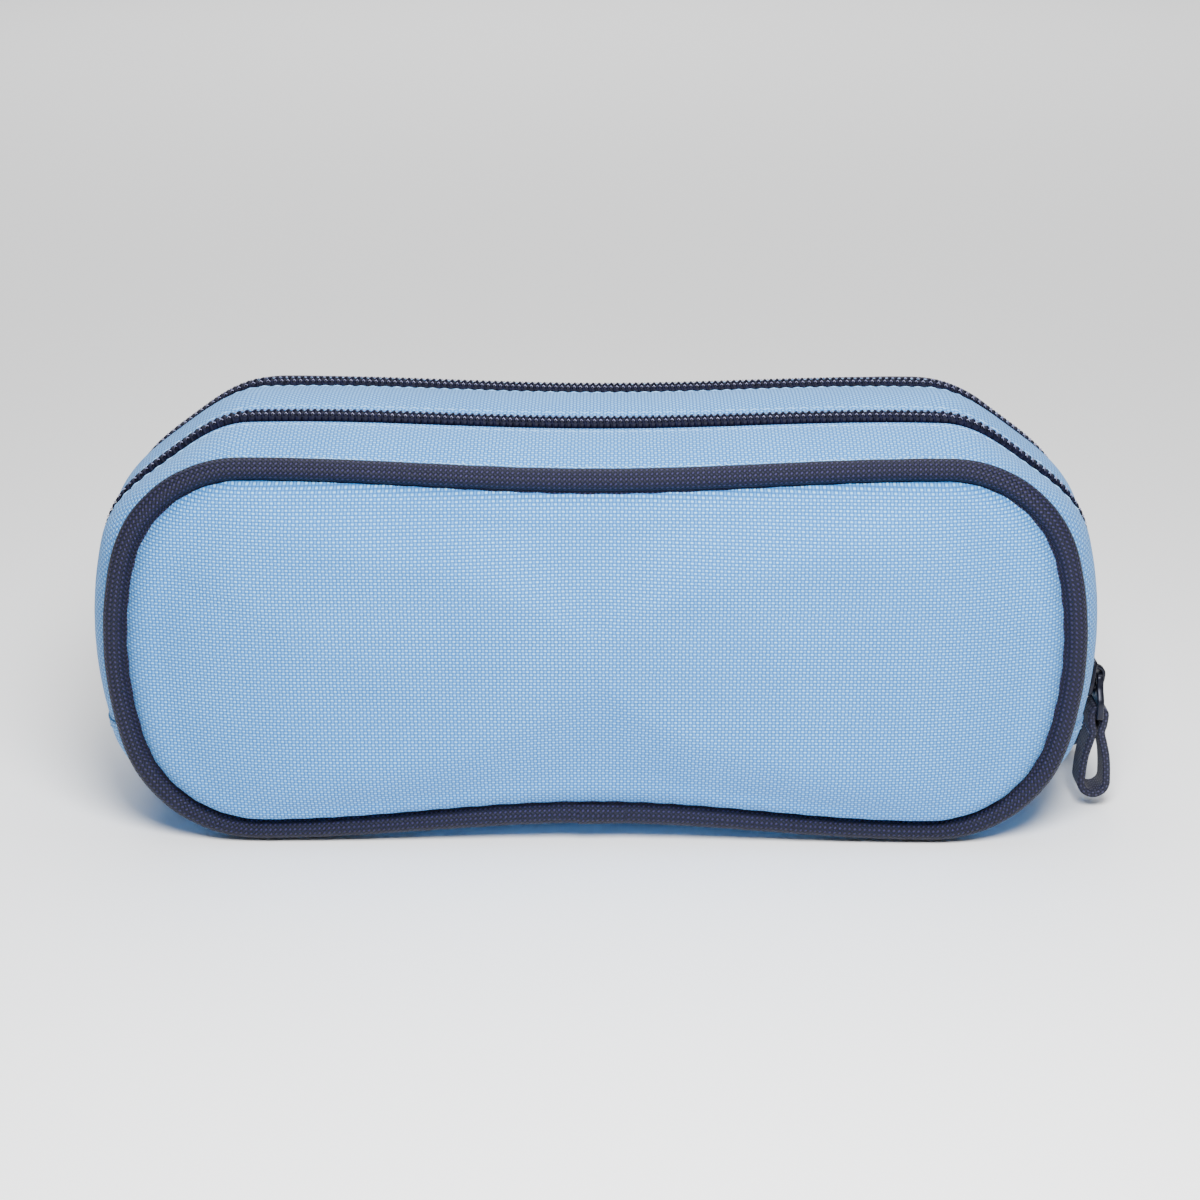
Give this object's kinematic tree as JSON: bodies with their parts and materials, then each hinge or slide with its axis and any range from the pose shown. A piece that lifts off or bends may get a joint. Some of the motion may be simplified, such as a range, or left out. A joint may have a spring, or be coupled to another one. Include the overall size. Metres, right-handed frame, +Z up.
{
  "type": "pencil case",
  "caption": "Soft fabric pencil case with rounded, slightly waisted sides, piped edges and zipped compartments either side of a cloth divider.",
  "frame": {"origin": "middle of the flat underside of the base, on the surface that the case stands on", "axes": "+X along the case towards the sliders, +Y from the front panel to the rear panel, +Z up"},
  "size_m": [0.2368, 0.0908, 0.0962],
  "materials": {
    "cloth": "light blue woven polyester",
    "lining": "plain woven lining",
    "piping": "navy bias-cut woven piping",
    "piping_cord": "undyed twisted cord",
    "zip_tape": "navy woven zip tape",
    "zip_coil": "navy nylon coil",
    "painted_metal": "dark navy paint",
    "webbing": "navy woven webbing"
  },
  "bodies": {
    "case": {"base_band": "cloth", "middle_strip": "cloth", "divider": "lining", "zip_1_tape_inner": "zip_tape", "zip_1_coil_inner": "zip_coil", "zip_1_stop_right": "painted_metal", "zip_1_stop_left": "painted_metal", "zip_2_tape_inner": "zip_tape", "zip_2_coil_inner": "zip_coil", "zip_2_stop_right": "painted_metal", "zip_2_stop_left": "painted_metal"},
    "front_wall": {"front_panel": "cloth", "front_piping_cover": "piping", "front_piping_cord": "piping_cord", "front_seam_binding": "lining", "front_strip": "cloth", "zip_1_tape_outer": "zip_tape", "zip_1_coil_outer": "zip_coil"},
    "rear_wall": {"rear_panel": "cloth", "rear_piping_cover": "piping", "rear_piping_cord": "piping_cord", "rear_seam_binding": "lining", "rear_strip": "cloth", "zip_2_tape_outer": "zip_tape", "zip_2_coil_outer": "zip_coil"},
    "front_slider": {"zip_1_slider": "painted_metal", "zip_1_bridge": "painted_metal"},
    "front_tab": {"zip_1_tab": "painted_metal"},
    "front_strap": {"zip_1_strap": "webbing"},
    "rear_slider": {"zip_2_slider": "painted_metal", "zip_2_bridge": "painted_metal"},
    "rear_tab": {"zip_2_tab": "painted_metal"},
    "rear_strap": {"zip_2_strap": "webbing"}
  },
  "joints": [
    {"name": "front_wall_opens", "type": "hinge", "parent": "case", "child": "front_wall", "pos_m": [0, -0.0385, 0.00275], "axis": [1, 0, 0], "range_deg": [0, 40]},
    {"name": "front_slider_runs", "type": "hinge", "parent": "case", "child": "front_slider", "pos_m": [0.02688, -0.016, 0.04555], "axis": [0, -1, 0], "range_deg": [0, 20]},
    {"name": "front_tab_swings", "type": "hinge", "parent": "front_slider", "child": "front_tab", "pos_m": [0.11744, -0.016, 0.03234], "axis": [0, -1, 0], "range_deg": [0, 110]},
    {"name": "front_strap_swings", "type": "hinge", "parent": "front_tab", "child": "front_strap", "pos_m": [0.11744, -0.016, 0.02334], "axis": [0, -1, 0], "range_deg": [0, 80]},
    {"name": "rear_wall_opens", "type": "hinge", "parent": "case", "child": "rear_wall", "pos_m": [0, 0.0385, 0.00275], "axis": [-1, 0, 0], "range_deg": [0, 40]},
    {"name": "rear_slider_runs", "type": "hinge", "parent": "case", "child": "rear_slider", "pos_m": [0.02688, 0.016, 0.04555], "axis": [0, -1, 0], "range_deg": [0, 20]},
    {"name": "rear_tab_swings", "type": "hinge", "parent": "rear_slider", "child": "rear_tab", "pos_m": [0.11744, 0.016, 0.03234], "axis": [0, -1, 0], "range_deg": [0, 110]},
    {"name": "rear_strap_swings", "type": "hinge", "parent": "rear_tab", "child": "rear_strap", "pos_m": [0.11744, 0.016, 0.02334], "axis": [0, -1, 0], "range_deg": [0, 80]}
  ]
}
